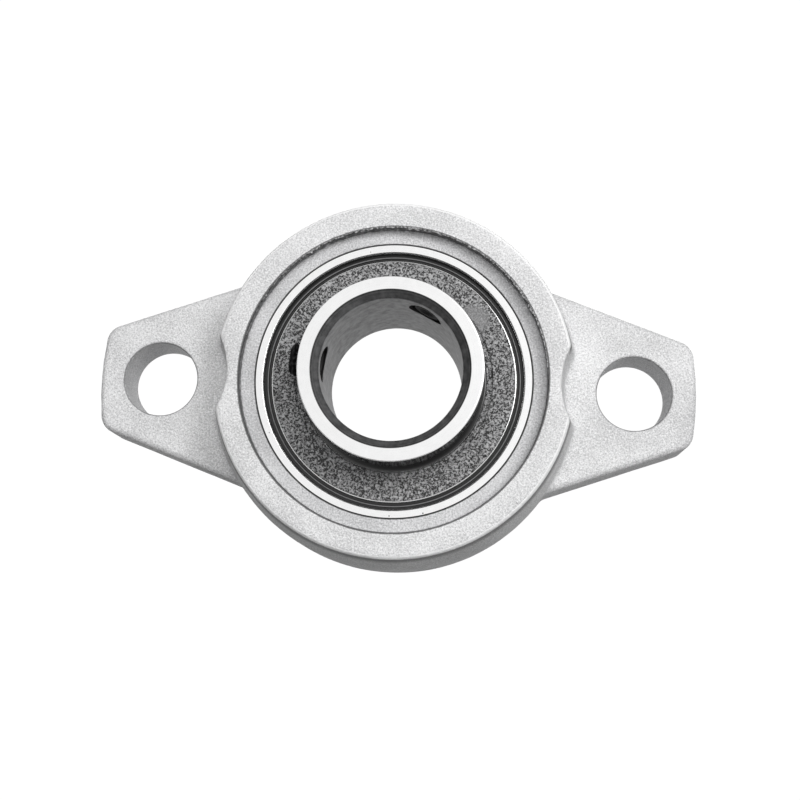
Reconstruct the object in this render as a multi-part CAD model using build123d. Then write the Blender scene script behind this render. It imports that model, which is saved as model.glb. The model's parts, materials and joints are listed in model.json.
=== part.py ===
"""Two-bolt flange bearing unit for a 20 mm shaft, in millimetres.

The mounting face lies in the plane z = 0 and the shaft runs along +Z. The two bolt holes lie on
the X axis. A die-cast housing holds a self-aligning insert bearing in a spherical seat. The insert
is an outer ring, nine balls in a riveted ribbon cage, an inner ring with a locking collar, two
seals and two set screws.
"""

from build123d import *
import math
import os

# Housing
bolt_spacing = 71.0
wing_end_beyond_bolt = 9.5
boss_foot_diameter = 55.0
boss_shoulder_inset = 1.25
rim_slope_inset = 0.65
rim_slope_height = 2.0
flange_thickness = 8.0
housing_height = 16.0
bolt_hole_diameter = 11.0
bolt_hole_edge_radius = 0.5
wing_width_at_bolt = 22.0
wing_taper_angle = 19.85
wing_corner_radius = 2.8
wing_root_radius = 2.0
wing_edge_radius = 1.0
rim_edge_radius = 0.3
casting_draft = 1.8
scallop_bite_into_rim = 1.6
scallop_flare = 1.2
scallop_corner_radius = 1.0
counterbore_diameter = 44.4
counterbore_depth = 2.0
counterbore_corner_radius = 0.4
back_opening_diameter = 41.6
back_opening_depth = 1.2
back_opening_chamfer = 0.5

# Insert bearing
shaft_diameter = 20.0
insert_diameter = 42.0
outer_ring_width = 12.0
inner_ring_width = 21.0
inner_ring_back_length = 6.0
ball_diameter = 6.35
ball_count = 9
race_radius_ratio = 0.5275
race_depth = 1.2
ring_edge_chamfer = 0.25
bore_front_chamfer = 1.1
bore_back_chamfer = 0.8
collar_diameter = 26.0
collar_edge_chamfer = 0.3
outer_ring_lip_width = 1.25

# Seals
seal_recess = 0.65
seal_thickness = 1.0
seal_groove_depth = 0.4
seal_groove_width = 0.8
seal_rim_width = 1.0
seal_rim_step = 0.4
seal_bead_radius = 0.16
seal_lip_width = 0.85
seal_lip_step = 0.35

# Cage
cage_sheet_thickness = 0.6
cage_band_width = 2.8
rivet_diameter = 1.0
rivet_head_diameter = 1.8
rivet_head_height = 0.4
rivet_head_chamfer = 0.2

# Set screws
screw_diameter = 5.0
screw_length = 3.4
screw_distance_from_collar_end = 5.0
screw_angles = (173.0, 63.0)
screw_gaps_to_shaft = (1.1, 0.1)
screw_socket_width = 2.5
screw_socket_depth = 2.0
screw_cup_diameter = 2.6
screw_cup_depth = 0.7
screw_end_chamfer = 0.5

# Clearances
seat_clearance = 0.03
ball_race_clearance = 0.02
ball_pocket_clearance = 0.12
seal_fit_clearance = 0.02
seal_lip_clearance = 0.05
rivet_hole_clearance = 0.02
screw_thread_clearance = 0.05
loading_slot_clearance = 0.15

# Lengths, radii and heights that follow from the sizes above
flange_length = bolt_spacing + 2 * wing_end_beyond_bolt
seat_centre_height = housing_height / 2
boss_foot_radius = boss_foot_diameter / 2
boss_shoulder_radius = boss_foot_radius - boss_shoulder_inset
rim_radius = boss_shoulder_radius - rim_slope_inset
scallop_mouth_radius = bolt_spacing / 2 - rim_radius + scallop_bite_into_rim
scallop_radius = scallop_mouth_radius - scallop_flare
bolt_hole_radius = bolt_hole_diameter / 2
seat_radius = insert_diameter / 2 + seat_clearance
shaft_radius = shaft_diameter / 2
ball_radius = ball_diameter / 2
ball_pitch_radius = (shaft_diameter + insert_diameter) / 4
race_radius = ball_diameter * race_radius_ratio
inner_race_bottom = ball_pitch_radius - ball_radius - ball_race_clearance
outer_race_bottom = ball_pitch_radius + ball_radius + ball_race_clearance
inner_shoulder_radius = inner_race_bottom + race_depth
outer_shoulder_radius = outer_race_bottom - race_depth
race_half_width = math.sqrt(race_radius**2 - (race_radius - race_depth) ** 2)
outer_ring_front = seat_centre_height + outer_ring_width / 2
outer_ring_face_radius = math.sqrt((insert_diameter / 2) ** 2 - (outer_ring_width / 2) ** 2)
outer_ring_lip_radius = outer_ring_face_radius - outer_ring_lip_width
inner_ring_back = seat_centre_height - inner_ring_back_length
inner_ring_front = inner_ring_back + inner_ring_width
collar_radius = collar_diameter / 2
seal_front_height = outer_ring_front - seal_recess
seal_back_height = seal_front_height - seal_thickness
seal_outer_radius = outer_ring_lip_radius + seal_groove_depth
pocket_radius = ball_radius + ball_pocket_clearance
pocket_outer_radius = pocket_radius + cage_sheet_thickness
screw_height = inner_ring_front - screw_distance_from_collar_end
screw_hole_radius = screw_diameter / 2
ball_angles = [360 / ball_count * index for index in range(ball_count)]
rivet_angles = [angle + 180 / ball_count for angle in ball_angles]


def revolve_outline(points):
    """Closed outline of (radius, height) points, turned about the bearing axis."""
    outline = Polyline([(radius, 0, height) for radius, height in points], close=True)
    return revolve(make_face(outline), Axis.Z)


def upright_cylinder(radius, height):
    """Cylinder that stands on the plane z = 0, about the Z axis."""
    return Cylinder(radius, height, align=(Align.CENTER, Align.CENTER, Align.MIN))


def cylinder_between(radius, bottom, top):
    """Upright cylinder on the bearing axis from one height to another."""
    return Pos(0, 0, bottom) * upright_cylinder(radius, top - bottom)


def mirrored_about_seat_centre(solid):
    """The same piece on the other side of the plane through the ball centres."""
    return mirror(solid, about=Plane.XY.offset(seat_centre_height))


# Housing


def flange_outline():
    """Rhombic outline: a boss circle and two wings with straight tapered sides and arched ends."""
    slope = math.tan(math.radians(wing_taper_angle))
    half_length = flange_length / 2
    half_width_at_centre = wing_width_at_bolt / 2 + bolt_spacing / 2 * slope
    half_width_at_end = half_width_at_centre - half_length * slope
    diamond = Polygon(
        (0, half_width_at_centre),
        (-half_length, half_width_at_end),
        (-half_length, -half_width_at_end),
        (0, -half_width_at_centre),
        (half_length, -half_width_at_end),
        (half_length, half_width_at_end),
        align=None,
    )
    wings = diamond & Circle(half_length)
    end_corners = [corner for corner in wings.vertices() if abs(corner.X) > bolt_spacing / 2]
    wings = fillet(end_corners, wing_corner_radius)
    outline = wings + Circle(boss_foot_radius)
    corners = outline.vertices()
    root_corners = [each for each in corners if abs(math.hypot(each.X, each.Y) - boss_foot_radius) < 1e-3]
    return fillet(root_corners, wing_root_radius)


def flange_plate():
    """The flange with drafted sides and a rounded front edge."""
    plate = extrude(flange_outline(), amount=flange_thickness, taper=casting_draft)
    return fillet(plate.edges().group_by(Axis.Z)[-1], wing_edge_radius)


def boss():
    """Round boss that narrows in two steps to its rim, scooped out beside each bolt hole for a washer."""
    foot = boss_foot_radius - flange_thickness * math.tan(math.radians(casting_draft))
    body = revolve_outline(
        [
            (0, 0),
            (boss_foot_radius, 0),
            (foot, flange_thickness),
            (boss_shoulder_radius, housing_height - rim_slope_height),
            (rim_radius, housing_height),
            (0, housing_height),
        ]
    )
    room_height = housing_height - flange_thickness
    on_flange = (Align.CENTER, Align.CENTER, Align.MIN)
    washer_room = Cone(scallop_radius, scallop_mouth_radius, room_height, align=on_flange)
    for side in (-1, 1):
        body -= Pos(side * bolt_spacing / 2, 0, flange_thickness) * washer_room
    middle = (flange_thickness + housing_height) / 2
    reach = housing_height - middle
    side_edges = [edge for edge in body.edges() if abs(edge.center().Z - middle) < reach]
    scallop_corners = [edge for edge in side_edges if edge.geom_type != GeomType.CIRCLE]
    body = fillet(scallop_corners, scallop_corner_radius)
    return fillet(body.edges().group_by(Axis.Z)[-1], rim_edge_radius)


def seat_cut():
    """Room for the insert: spherical seat, counterbore on the front and relief on the back."""
    seat = Pos(0, 0, seat_centre_height) * Sphere(seat_radius)
    land = housing_height - counterbore_depth
    counterbore = cylinder_between(counterbore_diameter / 2, land, housing_height + 1)
    counterbore = fillet(counterbore.edges().group_by(Axis.Z)[0], counterbore_corner_radius)
    relief_radius = back_opening_diameter / 2
    relief = revolve_outline(
        [
            (0, -1),
            (relief_radius + back_opening_chamfer + 1, -1),
            (relief_radius, back_opening_chamfer),
            (relief_radius, back_opening_depth),
            (0, back_opening_depth),
        ]
    )
    return seat + counterbore + relief


def loading_slots():
    """Two slots open to the back: the insert goes in edge-on along them and is then turned flat."""
    slot_width = outer_ring_width + 2 * loading_slot_clearance
    reach = cylinder_between(seat_radius, -1, seat_centre_height)
    span = Box(boss_foot_diameter, slot_width, 2 * (seat_centre_height + 1))
    return reach & span


def housing():
    """Die-cast zinc housing."""
    body = flange_plate() + boss() - seat_cut() - loading_slots()
    for side in (-1, 1):
        body -= Pos(side * bolt_spacing / 2, 0, 0) * Cylinder(bolt_hole_radius, 3 * flange_thickness)
    circles = body.edges().filter_by(GeomType.CIRCLE)
    hole_edges = [edge for edge in circles if abs(edge.radius - bolt_hole_radius) < 1e-6]
    front_edges = [edge for edge in hole_edges if edge.arc_center.Z > flange_thickness / 2]
    return fillet(front_edges, bolt_hole_edge_radius)


# Rings


def outer_ring():
    """Outer ring: spherical outside, ball race inside and a groove for a seal at each side."""
    centre = seat_centre_height
    half = outer_ring_width / 2
    seat_line = seal_back_height - centre - seal_fit_clearance
    groove_top = seat_line + seal_groove_width + 2 * seal_fit_clearance
    groove_radius = seal_outer_radius + seal_fit_clearance
    inside = [
        (outer_ring_lip_radius + ring_edge_chamfer, half),
        (outer_ring_lip_radius, half - ring_edge_chamfer),
        (outer_ring_lip_radius, groove_top),
        (groove_radius, groove_top),
        (groove_radius, seat_line),
        (outer_shoulder_radius, seat_line),
    ]
    outside = insert_diameter / 2 + 1
    points = [(outside, half)] + inside
    points += [(radius, -height) for radius, height in reversed(points)]
    blank = revolve_outline([(radius, centre + height) for radius, height in points])
    sphere = Pos(0, 0, centre) * Sphere(insert_diameter / 2)
    race_pitch = outer_race_bottom - race_radius
    race = Pos(0, 0, centre) * Torus(race_pitch, race_radius)
    ring = (blank & sphere) - race
    circles = ring.edges().filter_by(GeomType.CIRCLE)
    face_edges = [edge for edge in circles if abs(edge.radius - outer_ring_face_radius) < 1e-3]
    return chamfer(face_edges, ring_edge_chamfer)


def set_screw_axis(angle):
    """Plane whose normal points outwards along one set screw, with its origin on the shaft's surface."""
    direction = Vector(math.cos(math.radians(angle)), math.sin(math.radians(angle)), 0)
    start = direction * shaft_radius + Vector(0, 0, screw_height)
    return Plane(origin=start, x_dir=(0, 0, 1), z_dir=direction)


def inner_ring():
    """Inner ring, longer than the outer one, with its locking collar at the front."""
    back = inner_ring_back
    front = inner_ring_front
    shoulder = inner_shoulder_radius
    collar_start = seal_front_height
    ring = revolve_outline(
        [
            (shaft_radius, back + bore_back_chamfer),
            (shaft_radius + bore_back_chamfer, back),
            (shoulder - ring_edge_chamfer, back),
            (shoulder, back + ring_edge_chamfer),
            (shoulder, collar_start - ring_edge_chamfer),
            (shoulder - ring_edge_chamfer, collar_start),
            (collar_radius, collar_start),
            (collar_radius, front - collar_edge_chamfer),
            (collar_radius - collar_edge_chamfer, front),
            (shaft_radius + bore_front_chamfer, front),
            (shaft_radius, front - bore_front_chamfer),
        ]
    )
    ring -= Pos(0, 0, seat_centre_height) * Torus(inner_race_bottom + race_radius, race_radius)
    for angle in screw_angles:
        ring -= set_screw_axis(angle) * Cylinder(screw_hole_radius, 2 * collar_radius - shaft_radius)
    return ring


# Balls and cage


def ball(angle):
    """One bearing ball, midway between the two races."""
    return Rot(0, 0, angle) * Pos(ball_pitch_radius, 0, seat_centre_height) * Sphere(ball_radius)


def at_pitch(angle, shape):
    """A shape made at the origin, placed on the ball circle at one angle."""
    return Rot(0, 0, angle) * Pos(ball_pitch_radius, 0, seat_centre_height) * shape


def cage_front():
    """Front half of the pressed ribbon cage: a flat ring with one half pocket over each ball."""
    inner = ball_pitch_radius - cage_band_width / 2
    outer = ball_pitch_radius + cage_band_width / 2
    middle = seat_centre_height
    top = middle + pocket_outer_radius
    band = cylinder_between(outer, middle, top) - cylinder_between(inner, middle, top)
    sheet = cylinder_between(outer, middle, middle + cage_sheet_thickness)
    pockets = [at_pitch(angle, Sphere(pocket_outer_radius)) for angle in ball_angles]
    balls_room = [at_pitch(angle, Sphere(pocket_radius)) for angle in ball_angles]
    rivet_hole = Cylinder(rivet_diameter / 2 + rivet_hole_clearance, 4 * cage_sheet_thickness)
    rivet_holes = [at_pitch(angle, rivet_hole) for angle in rivet_angles]
    ribbon = (sheet + pockets) & band
    return ribbon - balls_room - rivet_holes


def rivet(angle):
    """Rivet with a low chamfered head on each side of the cage."""
    head_start = cage_sheet_thickness + rivet_hole_clearance
    shank = Cylinder(rivet_diameter / 2, 2 * head_start + rivet_head_height)
    head = upright_cylinder(rivet_head_diameter / 2, rivet_head_height)
    head = chamfer(head.edges().group_by(Axis.Z)[-1], rivet_head_chamfer)
    front_head = Pos(0, 0, head_start) * head
    return at_pitch(angle, shank + front_head + mirror(front_head, about=Plane.XY))


def cage_rivets():
    """The rivets that hold the cage halves together, as separate solids."""
    return Compound(children=[rivet(angle).solid() for angle in rivet_angles])


# Seals


def seal_front():
    """Rubber seal disc: edge in the ring's groove, stepped rim, flat face, and a lip at the inner ring."""
    back = seal_back_height
    face = seal_front_height
    rim_radius = outer_ring_lip_radius - seal_fit_clearance
    rim_face = face - seal_rim_step
    flat_outer = rim_radius - seal_rim_width
    flat_inner = inner_shoulder_radius + seal_lip_clearance + seal_lip_width
    lip_radius = inner_shoulder_radius + seal_lip_clearance
    lip_face = face - seal_lip_step
    disc = revolve_outline(
        [
            (lip_radius, back),
            (seal_outer_radius, back),
            (seal_outer_radius, back + seal_groove_width),
            (rim_radius, back + seal_groove_width),
            (rim_radius, rim_face),
            (flat_outer, rim_face),
            (flat_outer, face),
            (flat_inner, face),
            (flat_inner, lip_face),
            (lip_radius, lip_face),
        ]
    )
    bead = Pos(0, 0, rim_face) * Torus(rim_radius - seal_rim_width / 2, seal_bead_radius)
    return disc + bead


# Set screws


def set_screw(angle, gap_to_shaft):
    """Set screw with a hexagon socket outside and a cup point towards the shaft."""
    radius = screw_diameter / 2 - screw_thread_clearance
    body = upright_cylinder(radius, screw_length)
    body = chamfer(body.edges().group_by(Axis.Z)[0], screw_end_chamfer)
    hexagon = RegularPolygon(screw_socket_width / 2, 6, major_radius=False)
    body -= Pos(0, 0, screw_length - screw_socket_depth) * extrude(hexagon, amount=screw_socket_depth)
    cup = Cone(screw_cup_diameter / 2, 0, screw_cup_depth, align=(Align.CENTER, Align.CENTER, Align.MIN))
    body -= cup
    return set_screw_axis(angle) * Pos(0, 0, gap_to_shaft) * body


def all_parts():
    """Every piece by its name."""
    front_cage = cage_front()
    front_seal = seal_front()
    parts = {
        "housing": housing(),
        "outer_ring": outer_ring(),
        "inner_ring": inner_ring(),
        "cage_front": front_cage,
        "cage_back": mirrored_about_seat_centre(front_cage),
        "cage_rivets": cage_rivets(),
        "seal_front": front_seal,
        "seal_back": mirrored_about_seat_centre(front_seal),
    }
    for number, angle in enumerate(ball_angles, start=1):
        parts[f"ball_{number}"] = ball(angle)
    for number, (angle, gap) in enumerate(zip(screw_angles, screw_gaps_to_shaft), start=1):
        parts[f"set_screw_{number}"] = set_screw(angle, gap)
    return parts


os.makedirs("parts", exist_ok=True)
for name, part in all_parts().items():
    export_step(part, f"parts/{name}.step")
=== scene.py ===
"""Two-bolt flange bearing unit for a 20 mm shaft, dressed to match its photograph.

Pieces are modelled in millimetres and brought to metres when they are finished. The mounting face is
the plane z = 0, the shaft runs along +Z and the two bolt holes lie on the X axis.
"""

import json
import math
from contextlib import contextmanager

import bmesh
import bpy
from mathutils import Matrix, Vector
from mathutils.noise import fractal


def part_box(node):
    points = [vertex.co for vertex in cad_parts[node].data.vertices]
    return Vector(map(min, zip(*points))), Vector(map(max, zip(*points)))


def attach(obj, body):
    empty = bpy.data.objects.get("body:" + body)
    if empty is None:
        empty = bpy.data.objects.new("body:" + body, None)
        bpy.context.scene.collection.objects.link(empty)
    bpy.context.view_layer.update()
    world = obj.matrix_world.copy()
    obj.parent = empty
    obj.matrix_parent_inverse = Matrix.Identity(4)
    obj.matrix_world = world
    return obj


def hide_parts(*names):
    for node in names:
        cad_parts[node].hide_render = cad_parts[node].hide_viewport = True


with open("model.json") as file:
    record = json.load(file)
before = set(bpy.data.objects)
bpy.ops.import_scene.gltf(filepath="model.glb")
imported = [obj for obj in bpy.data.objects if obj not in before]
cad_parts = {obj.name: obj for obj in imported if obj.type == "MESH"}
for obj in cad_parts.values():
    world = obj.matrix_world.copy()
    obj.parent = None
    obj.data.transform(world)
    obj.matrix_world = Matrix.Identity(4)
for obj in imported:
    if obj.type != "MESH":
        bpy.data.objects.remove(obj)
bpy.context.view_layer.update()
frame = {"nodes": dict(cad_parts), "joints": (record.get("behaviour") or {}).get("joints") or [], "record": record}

# Sizes read from the frame, in millimetres
mm = 0.001


def box_in_mm(node):
    """Lowest and highest corner of a node of the frame, in millimetres."""
    low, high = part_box(node)
    return low / mm, high / mm


mounts = {mount["name"]: mount for mount in frame["record"]["mounts"]}
joints = {joint["name"]: joint for joint in frame["joints"]}
housing_low, housing_high = box_in_mm("housing")
outer_ring_low, outer_ring_high = box_in_mm("outer_ring")
inner_ring_low, inner_ring_high = box_in_mm("inner_ring")
seal_low, seal_high = box_in_mm("seal_front")
ball_low, ball_high = box_in_mm("ball_1")
screw_low, screw_high = box_in_mm("set_screw_1")

flange_length = housing_high.x - housing_low.x
boss_foot_radius = housing_high.y
housing_height = housing_high.z
bolt_x = mounts["bolt_holes"]["dims"]["spacing_x_mm"] / 2
bolt_hole_radius = mounts["bolt_holes"]["dims"]["hole_r_mm"]
shaft_radius = mounts["shaft_bore"]["dims"]["r_mm"]
seat_centre_height = (outer_ring_low.z + outer_ring_high.z) / 2
insert_radius = outer_ring_high.y
ring_half_width = (outer_ring_high.z - outer_ring_low.z) / 2
inner_ring_back = inner_ring_low.z
inner_ring_front = inner_ring_high.z
inner_shoulder_radius = inner_ring_high.x
ball_radius = (ball_high.x - ball_low.x) / 2
ball_pitch_radius = (ball_high.x + ball_low.x) / 2
seal_face_height = seal_high.z
seal_back_height = seal_low.z
seal_outer_radius = seal_high.x
screw_height = (screw_low.z + screw_high.z) / 2
screw_gaps_to_shaft = [-joints[f"set_screw_{number}_travel"]["range_m"][0] / mm for number in (1, 2)]

# Housing
flange_thickness = 8.0
wing_width_at_bolt = 22.0
wing_taper_angle = math.radians(19.85)
wing_corner_radius = 2.8
wing_edge_radius = 1.0
wing_tip_slack = 0.05
boss_shoulder_radius = 26.25
rim_radius = 25.6
rim_slope_height = 2.0
rim_edge_width = 0.38
rim_edge_height = 0.55
casting_draft = math.tan(math.radians(1.8))
scallop_radius = 10.3
scallop_mouth_radius = 11.5
casting_skin_step = 0.36
casting_softness = 1
casting_ripple = 0.06
casting_ripple_size = 5.0
casting_ripple_inward = 0.9
bolt_hole_edge_radius = 0.5
bolt_hole_flare = (4.0, 0.7)
counterbore_radius = 22.2
counterbore_depth = 2.0
counterbore_corner_radius = 0.4
counterbore_edge_break = 0.1
burr_profile = [(0.16, -0.1), (0.1, 0), (-0.06, 0), (-0.1, -0.08), (0, -0.25)]
burr_offset = 0.02
burr_reach = 0.3
burr_sink = 0.3
burr_middle = math.radians(75)
burr_spread = 0.45
burr_tear_scale = 20
burr_tear_share = 0.1
burr_tuck = 0.14
burr_droop = 0.5
nick_width = 0.35
nick_depth = 0.6
nick_rise = 0.02
nick_slimness = 0.5
# Angle on the rim, distance from the axis, length and turn of each nick
rim_nicks = [(-131.1, 23.6, 1.6, 60), (-43.9, 25.2, 2.6, -50), (45.3, 23.2, 2.0, 120), (36.5, 22.6, 2.2, 100)]
back_opening_radius = 20.8
back_opening_depth = 1.2
back_opening_chamfer = 0.5
seat_clearance = 0.03
seat_mouth_radius = 20.16
loading_slot_clearance = 0.15

# How far cutting tools and spare stock reach past a face
past = 1.0
spare = 1.5

# Rings
race_radius_ratio = 0.5275
race_depth = 1.2
ball_race_clearance = 0.02
ring_edge_chamfer = 0.25
outer_ring_lip_width = 1.25
seal_groove_width = 0.84
seal_fit_clearance = 0.02
collar_radius = 13.0
collar_edge_radius = 0.3
bore_front_chamfer = 1.1
bore_back_chamfer = 0.8
bore_edge_radius = 0.05
bore_chamfer_end_radius = 0.2
face_pits = [(0.17, -19.76, 0.11), (4.96, -19.2, 0.12), (-4.1, 18.9, 0.08), (-17.6, -8.4, 0.08)]

# Seals
seal_edge_width = 0.8
seal_rim_width = 1.0
seal_rim_step = 0.4
seal_bead_radius = 0.16
seal_lip_width = 0.85
seal_lip_step = 0.35
seal_lip_clearance = 0.05
seal_corner_radius = 0.08
seal_flat_outer_radius = 0.2
seal_flat_inner_radius = 0.12
seal_lip_radius = 0.1
# Middle of a smooth patch, and a scratch: the direction across it, its distance from the axis and its middle
seal_patch = (11.5, 9.4)
seal_scratch_across = (0.549, -0.836)
seal_scratch_distance = 8.22
seal_scratch_middle = (16.0, 0.65)

# Set screws
screw_radius = 2.45
screw_length = 3.4
screw_pitch = 0.8
screw_thread_depth = 0.4
screw_socket_width = 2.5
screw_socket_depth = 2.0
screw_cup_radius = 1.3
screw_cup_depth = 0.7
screw_end_chamfer = 0.5
screw_hole_radius = 2.5
screw_hole_thread_depth = 0.22
screw_hole_lead_in = 0.3
screw_hole_lead_in_depth = 0.35
screw_hole_lead_in_slope = 0.5
# Where the tap starts, inside the bore, and how long it and the lead-in's cutter are
tap_start = 2.0
tap_length = 8.0
lead_in_length = 4.0
# Share of the pitch that is flat at the crest and at the root, and rows of points to a pitch
thread_flat = 0.12
thread_rows = 8

# Points round a circle, and steps round a rounded corner
very_fine = 720
fine = 256
medium = 96
coarse = 64
corner_steps = 5


def alone(piece):
    """Makes one piece the only selected one, and the active one."""
    bpy.ops.object.select_all(action="DESELECT")
    piece.select_set(True)
    bpy.context.view_layer.objects.active = piece


@contextmanager
def editing(piece):
    """Edit mode on one piece, with all of it selected at first."""
    alone(piece)
    bpy.ops.object.mode_set(mode="EDIT")
    bpy.ops.mesh.select_mode(type="VERT")
    bpy.ops.mesh.select_all(action="SELECT")
    yield
    bpy.ops.object.mode_set(mode="OBJECT")


def primitive(name, operator, **settings):
    """Adds a primitive at its place, named, with its place in its mesh."""
    bpy.ops.object.select_all(action="DESELECT")
    operator(**settings)
    piece = bpy.context.object
    piece.name = name
    bpy.ops.object.transform_apply(location=True, rotation=True, scale=True)
    return piece


def cylinder(radius, bottom, top, x=0.0, y=0.0, vertices=fine, draft=0.0):
    """Upright cylinder between two heights, narrower towards the top by the draft."""
    return primitive(
        "cylinder",
        bpy.ops.mesh.primitive_cone_add,
        vertices=vertices,
        radius1=radius,
        radius2=radius - draft * (top - bottom),
        depth=top - bottom,
        location=(x, y, (bottom + top) / 2),
    )


def select_vertices(piece, test):
    """In edit mode, selects only the vertices that pass a test."""
    bpy.ops.mesh.select_mode(type="VERT")
    bpy.ops.mesh.select_all(action="DESELECT")
    mesh = bmesh.from_edit_mesh(piece.data)
    for vertex in mesh.verts:
        if test(vertex):
            vertex.select_set(True)
    bmesh.update_edit_mesh(piece.data)


def combine(piece, operation, *tools):
    """Unites the tools with a piece, or cuts them from it, and removes them."""
    for tool in tools:
        alone(piece)
        modifier = piece.modifiers.new(operation.lower(), "BOOLEAN")
        modifier.operation = operation
        modifier.solver = "MANIFOLD"
        modifier.object = tool
        bpy.ops.object.modifier_apply(modifier=modifier.name)
        bpy.data.objects.remove(tool)
    return piece


def rounded(*corners):
    """Closed outline of (radius, height) corners. A third number rounds its corner to that radius."""
    points = []
    for index, corner in enumerate(corners):
        here = Vector(corner[:2])
        if len(corner) == 2:
            points.append(here)
            continue
        before = (Vector(corners[index - 1][:2]) - here).normalized()
        after = (Vector(corners[(index + 1) % len(corners)][:2]) - here).normalized()
        half_angle = before.angle(after) / 2
        reach = corner[2] / math.tan(half_angle)
        centre = here + (before + after).normalized() * corner[2] / math.sin(half_angle)
        first = here + before * reach - centre
        last = here + after * reach - centre
        for step in range(corner_steps + 1):
            share = step / corner_steps
            direction = first * math.cos(share * math.pi / 2) + last * math.sin(share * math.pi / 2)
            points.append(centre + direction.normalized() * corner[2])
    return points


def arc(radius, height, size, start, end, steps=20):
    """Points of an arc in (radius, height), about a centre, between two angles in degrees."""
    angles = [math.radians(start + (end - start) * step / steps) for step in range(steps + 1)]
    return [(radius + size * math.cos(angle), height + size * math.sin(angle)) for angle in angles]


def turned(name, outline, segments=fine, solid=False):
    """A piece turned about the bearing axis: a circle extruded along an outline, then closed up."""
    outline = [Vector(point) for point in outline]
    piece = primitive(
        name,
        bpy.ops.mesh.primitive_circle_add,
        vertices=segments,
        radius=outline[0].x,
        location=(0, 0, outline[0].y),
    )
    with editing(piece):
        for here, there in zip(outline, outline[1:]):
            growth = there.x / here.x
            bpy.ops.mesh.extrude_edges_move(TRANSFORM_OT_translate={"value": (0, 0, there.y - here.y)})
            bpy.ops.transform.resize(value=(growth, growth, 1), center_override=(0, 0, 0))
        bpy.ops.mesh.select_all(action="DESELECT")
        bpy.ops.mesh.select_non_manifold()
        if solid:
            bpy.ops.mesh.fill_holes(sides=0)
        else:
            bpy.ops.mesh.bridge_edge_loops()
        bpy.ops.mesh.select_all(action="SELECT")
        bpy.ops.mesh.normals_make_consistent(inside=False)
    return piece


def settle(piece, body, material, nodes, crease=30):
    """Shades a finished piece, brings it to metres, hangs it on its body and hides the frame's nodes that it
    stands in for.
    """
    alone(piece)
    bpy.ops.object.shade_smooth_by_angle(angle=math.radians(crease))
    even = piece.modifiers.new("even shading", "WEIGHTED_NORMAL")
    even.keep_sharp = True
    bpy.ops.object.modifier_apply(modifier=even.name)
    piece.scale = (mm, mm, mm)
    bpy.ops.object.transform_apply(location=True, rotation=True, scale=True)
    piece.data.materials.clear()
    piece.data.materials.append(material)
    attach(piece, body)
    if nodes:
        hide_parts(*nodes)
    return piece


# Housing


def wing_plate(bottom):
    """The two wings as one plate: a disc cut to a rhombus, its corners rounded, raised with draft."""
    half_length = flange_length / 2 - casting_draft * bottom
    reach = wing_width_at_bolt / 2 + bolt_x * math.tan(wing_taper_angle) - casting_draft * bottom
    plate = primitive(
        "wings", bpy.ops.mesh.primitive_circle_add, vertices=medium, radius=half_length,
        fill_type="NGON", location=(0, 0, bottom),
    )
    with editing(plate):
        for along in (1, -1):
            for across in (1, -1):
                bpy.ops.mesh.select_all(action="SELECT")
                bpy.ops.mesh.bisect(
                    plane_co=(0, across * reach, bottom),
                    plane_no=(along * math.sin(wing_taper_angle), across * math.cos(wing_taper_angle), 0),
                    clear_outer=True,
                )
        wing_tips = [vertex.co.y for vertex in bmesh.from_edit_mesh(plate.data).verts
                     if abs(vertex.co.x) > bolt_x]
        half_width = max(wing_tips)
        select_vertices(plate, lambda v: abs(v.co.x) > bolt_x and abs(v.co.y) > half_width - wing_tip_slack)
        turn = (math.pi / 2 - wing_taper_angle - math.asin(half_width / half_length)) / 2
        bpy.ops.mesh.bevel(
            offset=wing_corner_radius * math.tan(turn), segments=8, affect="VERTICES", offset_type="OFFSET"
        )
        bpy.ops.mesh.select_mode(type="FACE")
        bpy.ops.mesh.select_all(action="SELECT")
        rise = flange_thickness - bottom
        bpy.ops.mesh.inset(thickness=rise * casting_draft, depth=rise, use_even_offset=True)
        bpy.ops.mesh.select_mode(type="EDGE")
        bpy.ops.mesh.region_to_loop()
        bpy.ops.mesh.bevel(offset=wing_edge_radius, segments=6, affect="EDGES")
        bpy.ops.mesh.select_all(action="DESELECT")
        bpy.ops.mesh.select_non_manifold()
        bpy.ops.mesh.edge_face_add()
        bpy.ops.mesh.select_all(action="SELECT")
        bpy.ops.mesh.normals_make_consistent(inside=False)
    return plate


def scooped_boss(bottom):
    """Round boss that narrows in two steps to its rim, scooped out beside each bolt hole for a washer."""
    boss = turned(
        "boss",
        rounded(
            (boss_foot_radius - casting_draft * bottom, bottom),
            (boss_foot_radius - casting_draft * flange_thickness, flange_thickness),
            (boss_shoulder_radius, housing_height - rim_slope_height),
            (rim_radius + rim_edge_width, housing_height - rim_edge_height),
            (rim_radius, housing_height),
            (1, housing_height),
        ),
        solid=True,
    )
    flare = (scallop_mouth_radius - scallop_radius) / (housing_height - flange_thickness)
    scoops = [cylinder(scallop_radius, flange_thickness, 2 * housing_height, x=side * bolt_x, draft=-flare)
              for side in (1, -1)]
    return combine(boss, "DIFFERENCE", *scoops)


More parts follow.
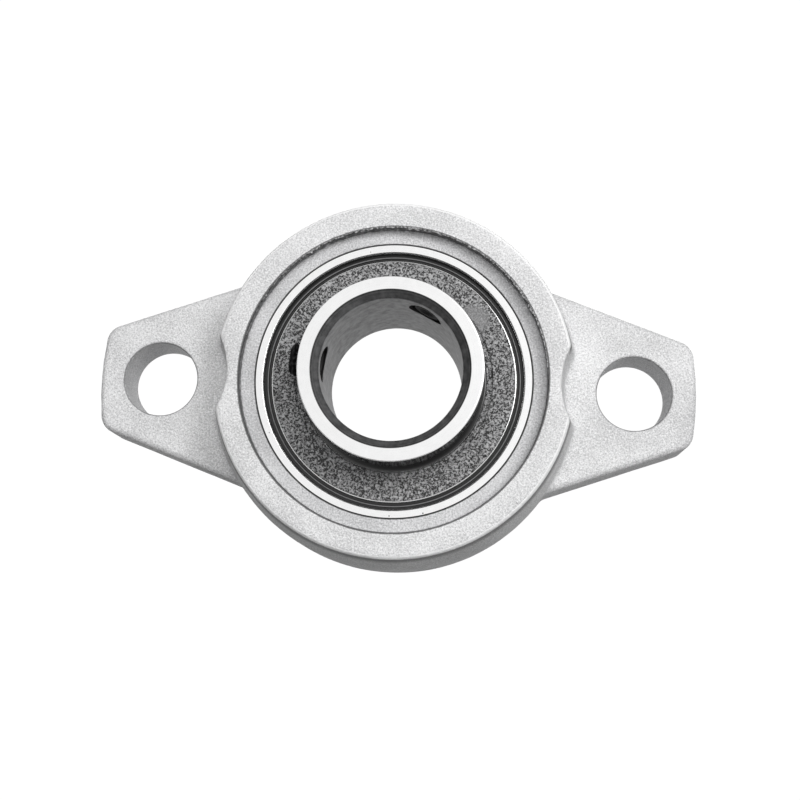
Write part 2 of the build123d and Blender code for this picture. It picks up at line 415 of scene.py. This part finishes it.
def cast_body():
    """Wings and boss as they leave the mould: one skin, soft at every edge and a little uneven."""
    body = combine(scooped_boss(-spare), "UNION", wing_plate(-spare))
    alone(body)
    remesh = body.modifiers.new("one skin", "REMESH")
    remesh.mode = "VOXEL"
    remesh.voxel_size = casting_skin_step
    bpy.ops.object.modifier_apply(modifier=remesh.name)
    with editing(body):
        bpy.ops.mesh.vertices_smooth(factor=0.5, repeat=casting_softness)
    ripple = bpy.data.textures.new("mould ripple", "CLOUDS")
    ripple.noise_scale = casting_ripple_size
    uneven = body.modifiers.new("uneven", "DISPLACE")
    uneven.texture = ripple
    uneven.texture_coords = "LOCAL"
    uneven.strength = casting_ripple
    uneven.mid_level = casting_ripple_inward
    bpy.ops.object.modifier_apply(modifier=uneven.name)
    with editing(body):
        bpy.ops.mesh.bisect(plane_co=(0, 0, 0), plane_no=(0, 0, -1), clear_outer=True, use_fill=True)
    return body


def insert_room():
    """Tools that cut the spherical seat, the counterbore, the back relief and the two loading slots."""
    seat = primitive(
        "seat", bpy.ops.mesh.primitive_uv_sphere_add, segments=fine, ring_count=128,
        radius=insert_radius + seat_clearance, location=(0, 0, seat_centre_height),
    )
    land = housing_height - counterbore_depth
    counterbore = turned(
        "counterbore",
        rounded(
            (1, land),
            (counterbore_radius, land, counterbore_corner_radius),
            (counterbore_radius, housing_height - counterbore_edge_break),
            (counterbore_radius + counterbore_edge_break + past, housing_height + past),
            (1, housing_height + past),
        ),
        solid=True,
    )
    relief = turned(
        "relief",
        [
            (1, -past),
            (back_opening_radius + back_opening_chamfer + past, -past),
            (back_opening_radius, back_opening_chamfer),
            (back_opening_radius, back_opening_depth),
            (1, back_opening_depth),
        ],
        solid=True,
    )
    slot_width = 2 * (ring_half_width + loading_slot_clearance)
    slot = cylinder(insert_radius + seat_clearance, -past, seat_centre_height)
    span = primitive(
        "span", bpy.ops.mesh.primitive_cube_add, size=1, location=(0, 0, 0),
        scale=(3 * insert_radius, slot_width, 3 * seat_centre_height),
    )
    combine(slot, "INTERSECT", span)
    return seat, counterbore, relief, slot


def hole_cutter(x):
    """Drill for one bolt hole, which flares out to a rounded edge at the top of the wing."""
    reach = bolt_hole_edge_radius
    edge = arc(bolt_hole_radius + reach, flange_thickness - reach, reach, 180, 100, 6)
    top = (edge[-1][0] + bolt_hole_flare[0], flange_thickness + bolt_hole_flare[1])
    drill = turned("drill", [(bolt_hole_radius, -past)] + edge + [top], segments=medium, solid=True)
    drill.location.x = x
    alone(drill)
    bpy.ops.object.transform_apply(location=True, rotation=True, scale=True)
    return drill


def nick(angle, radius, length, across):
    """Wedge that cuts a small nick into the rim, at an angle on it and turned across it."""
    place = Vector((math.cos(math.radians(angle)), math.sin(math.radians(angle)), 0)) * radius
    return primitive(
        "nick", bpy.ops.mesh.primitive_cone_add, vertices=4, radius1=0.0, radius2=nick_width, depth=nick_depth,
        location=place + Vector((0, 0, housing_height + nick_rise)), scale=(length, nick_slimness, 1),
        rotation=(0, 0, math.radians(across)),
    )


def make_housing(material):
    """Die-cast housing, machined for the insert and drilled for two bolts."""
    housing = cast_body()
    housing.name = "housing_casting"
    nicks = [nick(*values) for values in rim_nicks]
    combine(housing, "DIFFERENCE", *insert_room(), hole_cutter(bolt_x), hole_cutter(-bolt_x), *nicks)
    return settle(housing, "housing", material, ["housing"])


def make_burr(material):
    """Thin torn lip that the cutting tool left along the upper side of the counterbore's edge."""
    edge = counterbore_radius + burr_offset
    top = housing_height - burr_offset
    burr = turned("counterbore_burr", [(edge + out, top + up) for out, up in burr_profile], segments=very_fine)
    inner = edge - 0.03
    with editing(burr):
        mesh = bmesh.from_edit_mesh(burr.data)
        for vertex in mesh.verts:
            radius = math.hypot(vertex.co.x, vertex.co.y)
            angle = math.atan2(vertex.co.y, vertex.co.x)
            torn = fractal(vertex.co.xy.normalized().to_3d() * burr_tear_scale, 0.6, 2.2, 4)
            share = min(1, max(0, burr_spread + math.cos(angle - burr_middle)))
            reach = max(0, torn + burr_tear_share) * burr_reach * share if radius < inner else 0
            vertex.co.xy *= (radius - reach + burr_tuck * (1 - share)) / radius
            vertex.co.z -= max(0, reach - 0.1) * burr_droop + burr_sink * (1 - share)
        bmesh.update_edit_mesh(burr.data)
    return settle(burr, "housing", material, [], crease=50)


# Rings


def make_outer_ring(material):
    """Outer ring with its spherical outside, seal grooves and ball race."""
    centre = seat_centre_height
    half = ring_half_width
    face_radius = math.sqrt(insert_radius**2 - half**2)
    lip = face_radius - outer_ring_lip_width
    seal_line = seal_back_height - centre - seal_fit_clearance
    groove = seal_outer_radius + seal_fit_clearance
    race = 2 * ball_radius * race_radius_ratio
    race_bottom = ball_pitch_radius + ball_radius + ball_race_clearance
    shoulder = race_bottom - race_depth
    race_half_angle = math.degrees(math.acos((race - race_depth) / race))
    front = rounded(
        (face_radius - 0.1, half),
        (lip, half, ring_edge_chamfer),
        (lip, seal_line + seal_groove_width),
        (groove, seal_line + seal_groove_width),
        (groove, seal_line),
        (shoulder, seal_line),
    )
    tilt = math.degrees(math.asin((half - ring_edge_chamfer / 2) / insert_radius))
    race_arc = arc(race_bottom - race, centre, race, race_half_angle, -race_half_angle, 16)
    outside = arc(0, centre, insert_radius, -tilt, tilt, 24)
    inside = [(radius, centre + height) for radius, height in front]
    mirrored = [(radius, centre - height) for radius, height in reversed(front)]
    ring = turned("outer_race_ring", outside + inside + race_arc + mirrored)
    return settle(ring, "outer_race", material, ["outer_ring"])


def threaded_rod(name, radius, depth, length, chamfer=0.0):
    """A threaded rod that stands on z = 0: a turned rod whose skin follows the thread's helix."""
    steps = round(length / screw_pitch * thread_rows)
    outline = [(radius, length * step / steps) for step in range(steps + 1)]
    rod = turned(name, outline, segments=coarse, solid=True)
    with editing(rod):
        mesh = bmesh.from_edit_mesh(rod.data)
        for vertex in mesh.verts:
            turn = math.atan2(vertex.co.y, vertex.co.x) / (2 * math.pi)
            phase = (vertex.co.z / screw_pitch - turn) % 1
            crest = min(max((abs(2 * phase - 1) - thread_flat) / (1 - 2 * thread_flat), 0), 1)
            height = min(vertex.co.z, length - vertex.co.z)
            skin = min(radius - depth * (1 - crest), radius - chamfer + height)
            vertex.co.xy = vertex.co.xy.normalized() * skin
        bmesh.update_edit_mesh(rod.data)
    return rod


def along_screw_axis(piece, number, distance):
    """Lays an upright piece along one set screw's axis, at a distance from the bearing axis."""
    axis = Vector(joints[f"set_screw_{number}_travel"]["axis"])
    angle = math.atan2(axis.y, axis.x)
    alone(piece)
    piece.rotation_euler = (0, math.pi / 2, angle)
    piece.location = axis * distance + Vector((0, 0, screw_height))
    bpy.ops.object.transform_apply(location=True, rotation=True, scale=True)
    return piece


def make_inner_ring(material):
    """Inner ring with its ball race and locking collar, tapped for two set screws."""
    centre = seat_centre_height
    shoulder = inner_shoulder_radius
    race = 2 * ball_radius * race_radius_ratio
    race_bottom = ball_pitch_radius - ball_radius - ball_race_clearance
    half_angle = math.degrees(math.acos((race - race_depth) / race))
    race_arc = arc(race_bottom + race, centre, race, 180 + half_angle, 180 - half_angle, 16)
    sides = rounded(
        (shaft_radius, inner_ring_back + bore_back_chamfer),
        (shaft_radius + bore_back_chamfer, inner_ring_back),
        (shoulder, inner_ring_back, ring_edge_chamfer),
    )
    collar = rounded(
        (shoulder, centre),
        (shoulder, seal_face_height, ring_edge_chamfer),
        (collar_radius, seal_face_height),
        (collar_radius, inner_ring_front, collar_edge_radius),
        (shaft_radius + bore_front_chamfer, inner_ring_front, bore_edge_radius),
        (shaft_radius, inner_ring_front - bore_front_chamfer, bore_chamfer_end_radius),
        (shaft_radius, centre),
    )[1:-1]
    ring = turned("inner_race_ring", sides + race_arc + collar)
    thread_depth = screw_hole_thread_depth
    for number in (1, 2):
        tap = threaded_rod("tap", screw_hole_radius + thread_depth, thread_depth, tap_length)
        along_screw_axis(tap, number, shaft_radius - tap_start)
        lead_in = cylinder(
            screw_hole_radius + screw_hole_lead_in, 0, lead_in_length, vertices=coarse,
            draft=-screw_hole_lead_in_slope,
        )
        along_screw_axis(lead_in, number, collar_radius - screw_hole_lead_in_depth)
        combine(ring, "DIFFERENCE", tap, lead_in)
    return settle(ring, "inner_race", material, ["inner_ring"])


# Seals and set screws


def make_seal(front, material):
    """Moulded seal: edge in the ring's groove, stepped rim with a bead, flat face and a thin lip."""
    face = seal_face_height
    back = seal_back_height
    ring_face_radius = math.sqrt(insert_radius**2 - ring_half_width**2)
    edge_radius = ring_face_radius - outer_ring_lip_width - seal_fit_clearance
    rim_face = face - seal_rim_step
    flat_outer = edge_radius - seal_rim_width
    lip_radius = inner_shoulder_radius + seal_lip_clearance
    flat_inner = lip_radius + seal_lip_width
    bead = edge_radius - seal_rim_width / 2
    points = rounded(
        (lip_radius, back),
        (seal_outer_radius, back, seal_corner_radius),
        (seal_outer_radius, back + seal_edge_width, seal_corner_radius),
        (edge_radius, back + seal_edge_width),
        (edge_radius, rim_face, seal_corner_radius),
    )
    points += arc(bead, rim_face, seal_bead_radius, 0, 180, 8)
    points += rounded(
        (edge_radius, rim_face),
        (flat_outer, rim_face, seal_corner_radius),
        (flat_outer, face, seal_flat_outer_radius),
        (flat_inner, face, seal_flat_inner_radius),
        (flat_inner, face - seal_lip_step, seal_corner_radius),
        (lip_radius, face - seal_lip_step, seal_lip_radius),
        (lip_radius, back),
    )[1:-1]
    name = "seal_disc_front" if front else "seal_disc_back"
    if not front:
        points = [(radius, 2 * seat_centre_height - height) for radius, height in points]
    seal = turned(name, points)
    return settle(seal, "outer_race", material, ["seal_front" if front else "seal_back"])


def make_set_screw(number, material):
    """Set screw with a thread, a hexagon socket outside and a cup point towards the shaft."""
    screw = threaded_rod(f"set_screw_threaded_{number}", screw_radius, screw_thread_depth, screw_length,
                         screw_end_chamfer)
    socket = primitive(
        "socket", bpy.ops.mesh.primitive_cylinder_add, vertices=6,
        radius=screw_socket_width / math.sqrt(3), depth=2 * screw_socket_depth, location=(0, 0, screw_length),
    )
    cup = primitive(
        "cup", bpy.ops.mesh.primitive_cone_add, vertices=48, radius1=2 * screw_cup_radius, radius2=0,
        depth=2 * screw_cup_depth, location=(0, 0, 0),
    )
    combine(screw, "DIFFERENCE", socket, cup)
    along_screw_axis(screw, number, shaft_radius + screw_gaps_to_shaft[number - 1])
    return settle(screw, f"set_screw_{number}", material, [f"set_screw_{number}"], crease=40)


# Materials


class Wire:
    """One socket of a material's nodes. Sums and products of wires are written as they read."""

    def __init__(self, tree, socket=None):
        self.tree = tree
        self.socket = socket

    def node(self, kind, settings=None, inputs=None, output=0):
        """Adds a node with its settings, then its input values or wires, and returns one output."""
        made = self.tree.nodes.new(kind)
        for name, value in (settings or {}).items():
            setattr(made, name, value)
        for name, value in (inputs or {}).items():
            if isinstance(value, Wire):
                self.tree.links.new(value.socket, made.inputs[name])
            else:
                made.inputs[name].default_value = value
        return Wire(self.tree, made.outputs[output]) if made.outputs else None

    def math(self, operation, *values):
        """A Math node on this wire and other wires or numbers."""
        return self.node("ShaderNodeMath", {"operation": operation}, dict(enumerate(values)))

    def __add__(self, other):
        return self.math("ADD", self, other)

    __radd__ = __add__

    def __mul__(self, other):
        return self.math("MULTIPLY", self, other)

    __rmul__ = __mul__

    def __sub__(self, other):
        return self.math("SUBTRACT", self, other)

    def __rsub__(self, other):
        return self.math("SUBTRACT", other, self)

    def __truediv__(self, other):
        return self.math("DIVIDE", self, other)

    def smooth(self, low, high):
        """0 below low, 1 above high, and a soft step between them."""
        return self.node(
            "ShaderNodeMapRange", {"interpolation_type": "SMOOTHSTEP"},
            {"Value": self, "From Min": low, "From Max": high},
        )

    def blend(self, first, second, kind="MIX"):
        """A colour between two colours, by this wire from 0 to 1."""
        pair = [(*colour, 1) if isinstance(colour, tuple) else colour for colour in (first, second)]
        settings = {"data_type": "RGBA", "blend_type": kind}
        return self.node("ShaderNodeMix", settings, {0: self, 6: pair[0], 7: pair[1]}, output=2)


def new_material(name):
    """An empty material and a wire to start its nodes from."""
    material = bpy.data.materials.new(name)
    material.use_nodes = True
    material.node_tree.nodes.clear()
    return material, Wire(material.node_tree)


def place_in_mm(wire):
    """Object coordinates in millimetres."""
    metres = wire.node("ShaderNodeTexCoord", output="Object")
    return wire.node("ShaderNodeVectorMath", {"operation": "SCALE"}, {0: metres, "Scale": 1 / mm})


def coordinates(place):
    """A place's x, y and z, as three wires."""
    return [place.node("ShaderNodeSeparateXYZ", inputs={0: place}, output=axis) for axis in range(3)]


def noise(place, scale, detail=2.0, roughness=0.5):
    """Noise with so many features per millimetre."""
    return place.node(
        "ShaderNodeTexNoise", {}, {"Vector": place, "Scale": scale, "Detail": detail, "Roughness": roughness}
    )


def size_of(wire):
    """A wire's value without its sign."""
    return wire.math("ABSOLUTE", wire)


def greater(first, second):
    """The greater of two wires."""
    return first.math("MAXIMUM", first, second)


def radius_of(x, y):
    """Distance from the upright axis at x = 0 and y = 0, in millimetres."""
    square = x * x + y * y
    return square.math("SQRT", square)


def band(wire, low, high):
    """1 between two values and 0 outside them, with soft ends."""
    return wire.smooth(low - 0.02, low + 0.02) * (1 - wire.smooth(high - 0.02, high + 0.02))


def spot(place, x, y, size):
    """1 within a small round spot at (x, y) on a face, in millimetres, and 0 outside it."""
    flat = place.node("ShaderNodeVectorMath", {"operation": "MULTIPLY"}, {0: place, 1: (1, 1, 0)})
    distance = flat.node("ShaderNodeVectorMath", {"operation": "DISTANCE"}, {0: flat, 1: (x, y, 0)}, output=1)
    return 1 - distance.smooth(size * 0.6, size)


def finish_surface(wire, colour, roughness, height, depth, metallic, **constants):
    """Principled surface with a bump of so many millimetres, as the material's output."""
    normal = wire.node("ShaderNodeBump", {}, {"Height": height, "Strength": 1.0, "Distance": depth * mm})
    inputs = {"Base Color": colour, "Roughness": roughness, "Normal": normal, "Metallic": metallic}
    inputs.update(constants)
    shader = wire.node("ShaderNodeBsdfPrincipled", {}, inputs)
    wire.node("ShaderNodeOutputMaterial", {}, {"Surface": shader})


def blasted_zinc():
    """Die-cast zinc, shot-blasted to a fine silver grain, with a painted highlight on the rim's edge and painted
    light on its top.

    Drilled and cut walls are darker and smoother, with dark torn lines at the bolt holes' edges. The counterbore's
    edge and the top of its wall, the seat's mouth and the boss's wall below the rim are darkened with painted
    shade.
    """
    material, wire = new_material("blasted_zinc")
    place = place_in_mm(wire)
    x, y, z = coordinates(place)
    radius = radius_of(x, y)
    from_bolt = radius_of(size_of(x) - bolt_x, y)
    from_top = housing_height - z
    grain = noise(place, 4.0, 3.0, 0.8)
    fleck = noise(place, 2.8, 1.0).smooth(0.56, 0.68)
    cloud = noise(place, 0.12, 2.0)
    dimples = wire.node("ShaderNodeTexVoronoi", {"feature": "SMOOTH_F1"}, {"Vector": place, "Scale": 3.2})
    ragged = noise(place, 1.4, 3.0, 0.7) * 0.16
    turned_wall = 1 - radius.smooth(counterbore_radius + 0.05, counterbore_radius + 0.2)
    drilled = 1 - from_bolt.smooth(bolt_hole_radius + 0.03, bolt_hole_radius + 0.4)
    cut = greater(turned_wall, drilled)
    # Painted light: the top 0.5 to 2 mm of the casting, the raised rim, is made lighter.
    painted_top_light = 1 - from_top.smooth(0.5, 2.0)
    tone = (grain * 0.8 + cloud * 0.2).smooth(0.34, 0.66) + fleck * 0.2 + painted_top_light * 0.09
    colour = tone.blend((0.42, 0.42, 0.425), (0.84, 0.84, 0.845))
    colour = cut.blend(colour, (0.88, 0.88, 0.885), "MULTIPLY")

    # Painted shade: a dark ragged band on the rim just outside the counterbore's edge and on the top of its wall.
    edge = band(radius + ragged, counterbore_radius + 0.06, counterbore_radius + 0.34) * 0.8
    torn = turned_wall * (1 - (from_top - ragged * 2).smooth(0.3, 0.5)) * 0.95
    colour = greater(edge, torn).blend(colour, (0.04, 0.04, 0.04))
    # Painted shade: a dark ragged line at the seat's mouth, in the gap between the land and the ring.
    painted_seat_gap_shade = band(radius - ragged, seat_mouth_radius - 0.12, seat_mouth_radius + 0.04)
    colour = (painted_seat_gap_shade * 0.9).blend(colour, (0.05, 0.05, 0.05))
    hole_line = band(from_bolt + ragged, bolt_hole_radius + 0.12, bolt_hole_radius + 0.26)
    colour = (hole_line * 0.6).blend(colour, (0.1, 0.1, 0.1))

    outside = radius.smooth(rim_radius, rim_radius + 0.2)
    # Painted shade: the boss's wall just below the rim's edge is darkened, fading out lower down.
    crease = outside * from_top.smooth(0.65, 0.85) * (1 - (from_top - ragged).smooth(1.2, 3.6))
    colour = (crease * 0.7).blend(colour, (0.07, 0.07, 0.07))
    # Painted highlight: a near-white band along the rim's outer edge and the scallops' edges.
    rim_edge = band(radius, rim_radius - 0.1, rim_radius + 0.5)
    scoop_edge = band(from_bolt, scallop_mouth_radius - 0.3, scallop_mouth_radius + 0.1)
    painted_edge_highlight = greater(rim_edge, scoop_edge) * (1 - from_top.smooth(0.55, 0.75))
    colour = (painted_edge_highlight * 0.7).blend(colour, (0.97, 0.97, 0.97))
    roughness = 0.55 + grain * 0.2 - cut * 0.15
    height = grain * 0.6 + dimples * 0.5 + noise(place, 0.8) * 0.8
    finish_surface(wire, colour, roughness, height, 0.14, 0.1, **{"Specular IOR Level": 0.15})
    return material


def bare_cut_zinc():
    """Bare zinc where the tool tore it: grey metal with dark tears."""
    material, wire = new_material("bare_cut_zinc")
    place = place_in_mm(wire)
    torn = noise(place, 3.0, 3.0, 0.6)
    colour = torn.smooth(0.35, 0.7).blend((0.03, 0.03, 0.03), (0.4, 0.4, 0.405))
    finish_surface(wire, colour, 0.35 + torn * 0.2, torn, 0.03, 0.9)
    return material


def ground_steel():
    """Bright ground steel with fine lines round the axis and a few pits.

    The bore and its chamfer are dull and darkened with painted shade, the collar's wall carries a painted dark
    reflection, and the screw holes are filled with painted shade. Dark lines at the edge of the ring's face and of
    the chamfer are painted shade.
    """
    material, wire = new_material("ground_steel")
    place = place_in_mm(wire)
    x, y, z = coordinates(place)
    radius = radius_of(x, y)
    rings = wire.node("ShaderNodeCombineXYZ", {}, {0: radius * 9.0, 1: z * 9.0, 2: 0.0})
    lines = wire.node("ShaderNodeTexNoise", {}, {"Vector": rings, "Scale": 1.0, "Detail": 3.0})
    stain = noise(place, 0.9, 4.0, 0.6)
    chamfer = shaft_radius + bore_front_chamfer
    bore = 1 - radius.smooth(chamfer - 0.06, chamfer + 0.02)
    wall = radius.smooth(collar_radius - 0.06, collar_radius - 0.02)
    wall = wall - radius.smooth(inner_shoulder_radius - 0.12, inner_shoulder_radius - 0.06)
    inside = radius.smooth(shaft_radius + 0.02, shaft_radius + 0.08)
    off_screws = size_of(z - screw_height)
    hole = inside * (1 - wall) * (1 - off_screws.smooth(screw_hole_radius + 0.5, screw_hole_radius + 0.7))
    bright = (lines * 0.5 + stain * 0.5).smooth(0.2, 0.8).blend((0.82, 0.82, 0.82), (0.9, 0.9, 0.9))
    # The dark tone of the bore and chamfer is partly a dull honed finish and partly painted shade; the chamfer is
    # darkened further with painted shade.
    honed_and_painted_shade = (lines * 0.35 + stain * 0.65).smooth(0.3, 0.7).blend((0.14, 0.14, 0.142), (0.4, 0.4, 0.405))
    # Painted reflection: the collar's wall is made near black, as if it mirrored the dark seal.
    painted_dark_reflection = lines.blend((0.02, 0.02, 0.02), (0.075, 0.075, 0.075))
    colour = bore.blend(bright, honed_and_painted_shade)
    colour = (bore * inside).blend(colour, (0.32, 0.32, 0.32), "MULTIPLY")
    colour = wall.blend(colour, painted_dark_reflection)
    # Painted shade: the tapped screw holes are made near black.
    colour = hole.blend(colour, (0.03, 0.03, 0.03))
    face_radius = math.sqrt(insert_radius**2 - ring_half_width**2)
    # Painted shade: dark lines at the outer edge of the ring's face and of the bore's chamfer; the pits are real
    # marks.
    painted_edge_shade_and_pits = band(radius, face_radius - 0.1, face_radius + 0.1) * 0.8
    painted_edge_shade_and_pits = painted_edge_shade_and_pits + band(radius, chamfer - 0.12, chamfer + 0.06) * 0.9
    for x_mark, y_mark, size in face_pits:
        painted_edge_shade_and_pits = painted_edge_shade_and_pits + spot(place, x_mark, y_mark, size)
    colour = painted_edge_shade_and_pits.math("MINIMUM", painted_edge_shade_and_pits, 1.0).blend(colour, (0.03, 0.03, 0.03))
    roughness = 0.2 + lines * 0.04 + bore * 0.22 - wall * 0.12 + hole * 0.2
    finish_surface(wire, colour, roughness, lines * 0.6 + stain * bore, 0.004, 1 - bore * 0.5,
                   **{"Specular Tint": (0.4, 0.4, 0.4, 1)})
    return material


def seal_rubber():
    """Black moulded rubber with a coarse dull grain, and painted highlights along its bead and the edge of its rim
    step.
    """
    material, wire = new_material("seal_rubber")
    place = place_in_mm(wire)
    x, y = coordinates(place)[:2]
    radius = radius_of(x, y)
    step_radius = seal_outer_radius - 1.6
    rim = radius.smooth(step_radius - 0.08, step_radius)
    smooth_patch = spot(place, *seal_patch, 2.6) * 0.75
    rough_part = (1 - rim) * (1 - smooth_patch)
    grain = noise(place, 3.5, 2.0, 0.95)
    cloud = noise(place, 0.35, 2.0)
    fleck = noise(place, 2.8, 0.0).smooth(0.62, 0.72)
    tone = (grain * 0.9 + cloud * 0.1).smooth(0.49, 0.535) * 0.75 + fleck * 0.8
    tone = tone * rough_part + smooth_patch * 0.45
    # Painted highlight: a lighter grey line along the bead.
    bead = band(radius, step_radius + 0.6, step_radius + 0.78)
    # Painted highlight: a thin near-white, metallic line along the edge of the rim's step.
    painted_step_highlight = band(radius, step_radius, step_radius + 0.18)
    off_scratch = size_of(x * seal_scratch_across[0] + y * seal_scratch_across[1] - seal_scratch_distance)
    scratch = (1 - off_scratch.smooth(0.03, 0.1)) * spot(place, *seal_scratch_middle, 1.6)
    tone = tone * (1 - scratch) + bead * 0.3
    colour = tone.blend((0.002, 0.002, 0.002), (0.43, 0.43, 0.435))
    colour = painted_step_highlight.blend(colour, (0.85, 0.85, 0.85))
    roughness = 0.2 + grain * 0.5 * rough_part
    finish_surface(wire, colour, roughness, grain * rough_part, 0.16, painted_step_highlight)
    return material


def blackened_steel():
    """Black oxide on the set screws, worn a little on the thread."""
    material, wire = new_material("blackened_steel")
    place = place_in_mm(wire)
    wear = noise(place, 2.0, 3.0)
    colour = wear.smooth(0.45, 0.75).blend((0.004, 0.004, 0.004), (0.05, 0.05, 0.052))
    finish_surface(wire, colour, 0.5 + wear * 0.25, wear, 0.02, 0.0, **{"Specular IOR Level": 0.06})
    return material


def polished_balls():
    """Polished bearing balls with a trace of grease."""
    material, wire = new_material("polished_balls")
    place = place_in_mm(wire)
    film = noise(place, 1.2, 3.0)
    colour = film.blend((0.62, 0.61, 0.6), (0.82, 0.82, 0.82))
    finish_surface(wire, colour, 0.06 + film * 0.12, film, 0.002, 1.0)
    return material


def pressed_sheet():
    """Pressed steel sheet of the cage and its rivets."""
    material, wire = new_material("pressed_sheet")
    place = place_in_mm(wire)
    rolled = noise(place, 3.0, 4.0, 0.6)
    colour = rolled.blend((0.4, 0.4, 0.4), (0.66, 0.66, 0.655))
    finish_surface(wire, colour, 0.28 + rolled * 0.2, rolled, 0.01, 1.0)
    return material


# Camera, floor and lamps


def photo_camera():
    """The camera that the photograph was taken with, worked out from the unit's own edges in it."""
    camera = bpy.data.objects.new("camera", bpy.data.cameras.new("camera"))
    bpy.context.scene.collection.objects.link(camera)
    camera.data.sensor_width = 36
    camera.data.lens = 54.26
    camera.data.clip_start = 0.01
    forward = Vector((-0.0475, 0.1587, -0.9862)).normalized()
    right = forward.cross(Vector((-0.0318, 0.9866, 0.1603))).normalized()
    up = right.cross(forward)
    turn = Matrix((right, up, -forward)).transposed().to_4x4()
    camera.matrix_world = Matrix.Translation(Vector((9.34, -30.63, 185.54)) * mm) @ turn
    bpy.context.scene.camera = camera


def seen_directly(wire):
    """1 for rays from the camera, a reflection or a refraction, and 0 for rays that light the object."""
    path = [wire.node("ShaderNodeLightPath", output=name)
            for name in ("Is Camera Ray", "Is Glossy Ray", "Is Transmission Ray")]
    return greater(path[0], greater(path[1], path[2]))


def white_floor():
    """A white table top that keeps a soft shadow of the object."""
    material, wire = new_material("white_floor")
    table = wire.node("ShaderNodeBsdfDiffuse", {}, {"Color": (0.3, 0.3, 0.3, 1)})
    white = wire.node("ShaderNodeEmission", {}, {"Color": (1, 1, 1, 1), "Strength": 1.12})
    surface = wire.node("ShaderNodeMixShader", {}, {0: seen_directly(wire) * 0.9, 1: table, 2: white})
    wire.node("ShaderNodeOutputMaterial", {}, {"Surface": surface})
    bpy.ops.object.select_all(action="DESELECT")
    bpy.ops.mesh.primitive_plane_add(size=4, location=(0, 0, -0.00005))
    floor = bpy.context.object
    floor.name = "table_top"
    floor.data.materials.append(material)


def white_surroundings():
    """Even light from all round, seen as white."""
    world = bpy.data.worlds.new("surroundings")
    world.use_nodes = True
    world.node_tree.nodes.clear()
    wire = Wire(world.node_tree)
    strength = seen_directly(wire) * 0.9 + 0.1
    light = wire.node("ShaderNodeBackground", {}, {"Color": (1, 1, 1, 1), "Strength": strength})
    wire.node("ShaderNodeOutputWorld", {}, {"Surface": light})
    bpy.context.scene.world = world


def black_card(name, place, size):
    """A black card in metres that faces the object: it shows only in the reflections on its metal."""
    material, wire = new_material(name)
    soot = wire.node("ShaderNodeBsdfDiffuse", {}, {"Color": (0, 0, 0, 1)})
    wire.node("ShaderNodeOutputMaterial", {}, {"Surface": soot})
    bpy.ops.object.select_all(action="DESELECT")
    bpy.ops.mesh.primitive_plane_add(size=1, location=place)
    card = bpy.context.object
    card.name = name
    card.scale = (*size, 1)
    card.rotation_mode = "QUATERNION"
    card.rotation_quaternion = (-Vector(place)).to_track_quat("Z", "Y")
    card.data.materials.append(material)
    card.visible_camera = False
    card.visible_shadow = False


def softbox(name, place, size, power, mirrored=True):
    """A square lamp in metres that points at the object, and shows in its metal unless it says not to."""
    lamp = bpy.data.objects.new(name, bpy.data.lights.new(name, "AREA"))
    bpy.context.scene.collection.objects.link(lamp)
    lamp.data.size = size
    lamp.data.energy = power
    lamp.location = place
    lamp.rotation_mode = "QUATERNION"
    lamp.rotation_quaternion = (-Vector(place)).to_track_quat("-Z", "Y")
    lamp.visible_glossy = mirrored


# The whole scene

photo_camera()
bpy.context.scene.view_settings.view_transform = "Standard"
white_floor()
white_surroundings()
softbox("key", (0.34, 0.17, 0.52), 0.3, 2.1)
softbox("sky", (0.0, 0.09, 0.68), 0.4, 3.2, mirrored=False)
black_card("card_below", (-0.05, -0.3, 0.06), (0.5, 0.16))
black_card("card_left", (-0.3, -0.1, 0.05), (0.4, 0.12))

steel = ground_steel()
rubber = seal_rubber()
black = blackened_steel()
zinc = blasted_zinc()
make_housing(zinc)
make_burr(bare_cut_zinc())
make_outer_ring(steel)
make_inner_ring(steel)
make_seal(True, rubber)
make_seal(False, rubber)
for number in (1, 2):
    make_set_screw(number, black)

balls = polished_balls()
sheet = pressed_sheet()
for name, node in frame["nodes"].items():
    if name.startswith("ball"):
        node.data.materials.clear()
        node.data.materials.append(balls)
    if name.startswith("cage"):
        node.data.materials.clear()
        node.data.materials.append(sheet)
